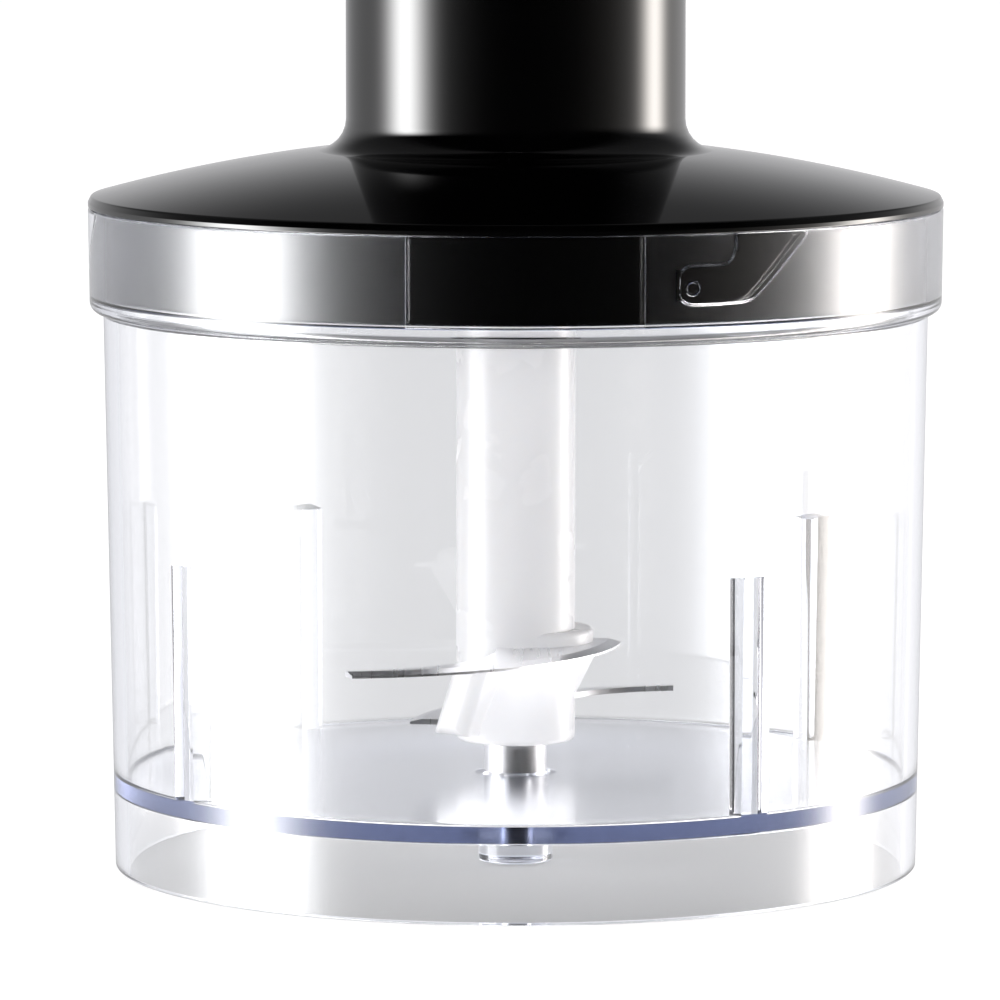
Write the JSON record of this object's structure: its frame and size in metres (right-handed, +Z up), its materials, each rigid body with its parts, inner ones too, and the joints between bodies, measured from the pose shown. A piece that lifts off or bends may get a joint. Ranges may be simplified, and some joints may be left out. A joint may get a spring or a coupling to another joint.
{
  "type": "immersion blender with chopper",
  "caption": "Hand blender motor unit standing on its chopper: clear bowl with steel sickle blades on a white hub, black gear lid with neck, round handle with buttons and speed dial.",
  "frame": {"origin": "centre of the bowl's foot, on the table", "axes": "+Z up along the blade and motor axis, -Y towards the front with the buttons, +X to the right"},
  "size_m": [0.126, 0.126, 0.3412],
  "materials": {
    "clear_plastic": "clear",
    "gloss_black": "gloss",
    "satin_black": "satin",
    "hub_white": "satin gloss",
    "gear_nylon": "satin",
    "blade_steel": "polished",
    "pin_steel": "ground",
    "screw_steel": "plated",
    "core_steel": "zinc plated",
    "bronze": "sintered",
    "copper": "enamelled wire",
    "magnet": "ferrite",
    "carbon": "pressed carbon",
    "board_green": "solder mask",
    "seal_rubber": "matte",
    "soft_grip": "soft touch",
    "button_grey": "soft touch",
    "dial_black": "satin"
  },
  "bodies": {
    "bowl": {"chop_bowl": "clear_plastic", "blade_pin": "pin_steel"},
    "lid": {"lid_shell": "gloss_black", "lid_plate": "satin_black", "plate_seal": "seal_rubber", "plate_screws": "screw_steel", "ring_gear": "gear_nylon", "input_bush": "bronze", "output_bush": "bronze", "shaft_seal": "seal_rubber"},
    "blade_drive": {"planet_carrier": "satin_black", "planet_pins": "pin_steel", "blade_hub": "hub_white", "upper_blade": "blade_steel", "lower_blade": "blade_steel"},
    "planet_1": {"planet_gear_1": "gear_nylon"},
    "planet_2": {"planet_gear_2": "gear_nylon"},
    "planet_3": {"planet_gear_3": "gear_nylon"},
    "rotor": {"sun_pinion": "screw_steel", "drive_socket": "satin_black", "drive_dog": "satin_black", "motor_shaft": "pin_steel", "cooling_fan": "satin_black", "armature_core": "core_steel", "armature_winding": "copper", "commutator": "copper"},
    "motor_unit": {"twist_coupler": "satin_black", "handle_front": "gloss_black", "handle_back": "gloss_black", "grip_panel": "soft_grip", "housing_screws": "screw_steel", "cord_gland": "seal_rubber", "top_cap": "gloss_black", "speed_control": "satin_black", "motor_can": "core_steel", "field_magnets": "magnet", "lower_end_bell": "gear_nylon", "upper_end_bell": "gear_nylon", "carbon_brushes": "carbon", "lower_bearing": "bronze", "upper_bearing": "bronze", "power_switch": "satin_black", "turbo_switch": "satin_black", "control_board": "board_green", "board_screws": "screw_steel"},
    "power_button": {"power_button": "button_grey"},
    "turbo_button": {"turbo_button": "button_grey"},
    "speed_dial": {"speed_dial": "dial_black"}
  },
  "joints": [
    {"name": "lid_twist", "type": "hinge", "parent": "bowl", "child": "lid", "pos_m": [0, 0, 0.0977], "axis": [0, 0, 1], "range_deg": [0, 8.3]},
    {"name": "blade_spin", "type": "hinge", "parent": "lid", "child": "blade_drive", "pos_m": [0, 0, 0.05], "axis": [0, 0, 1], "continuous": true},
    {"name": "rotor_spin", "type": "hinge", "parent": "lid", "child": "rotor", "pos_m": [0, 0, 0.15], "axis": [0, 0, 1], "continuous": true},
    {"name": "planet_1_spin", "type": "hinge", "parent": "blade_drive", "child": "planet_1", "pos_m": [0.015, 0, 0.096], "axis": [0, 0, 1], "continuous": true},
    {"name": "planet_2_spin", "type": "hinge", "parent": "blade_drive", "child": "planet_2", "pos_m": [-0.0075, 0.01299, 0.096], "axis": [0, 0, 1], "continuous": true},
    {"name": "planet_3_spin", "type": "hinge", "parent": "blade_drive", "child": "planet_3", "pos_m": [-0.0075, -0.01299, 0.096], "axis": [0, 0, 1], "continuous": true},
    {"name": "motor_twist", "type": "hinge", "parent": "lid", "child": "motor_unit", "pos_m": [0, 0, 0.1363], "axis": [0, 0, 1], "range_deg": [0, 24]},
    {"name": "power_press", "type": "slide", "parent": "motor_unit", "child": "power_button", "axis": [0, 1, 0], "range_m": [0, 0.002], "stiffness_N_per_m": 800},
    {"name": "turbo_press", "type": "slide", "parent": "motor_unit", "child": "turbo_button", "axis": [0, 1, 0], "range_m": [0, 0.002], "stiffness_N_per_m": 800},
    {"name": "dial_turn", "type": "hinge", "parent": "motor_unit", "child": "speed_dial", "pos_m": [0, 0, 0.335], "axis": [0, 0, -1], "range_deg": [0, 270]}
  ],
  "couplings": [
    {"joint": "rotor_spin", "follows": "blade_spin", "ratio": 5},
    {"joint": "planet_1_spin", "follows": "blade_spin", "ratio": -2.6667},
    {"joint": "planet_2_spin", "follows": "blade_spin", "ratio": -2.6667},
    {"joint": "planet_3_spin", "follows": "blade_spin", "ratio": -2.6667}
  ]
}
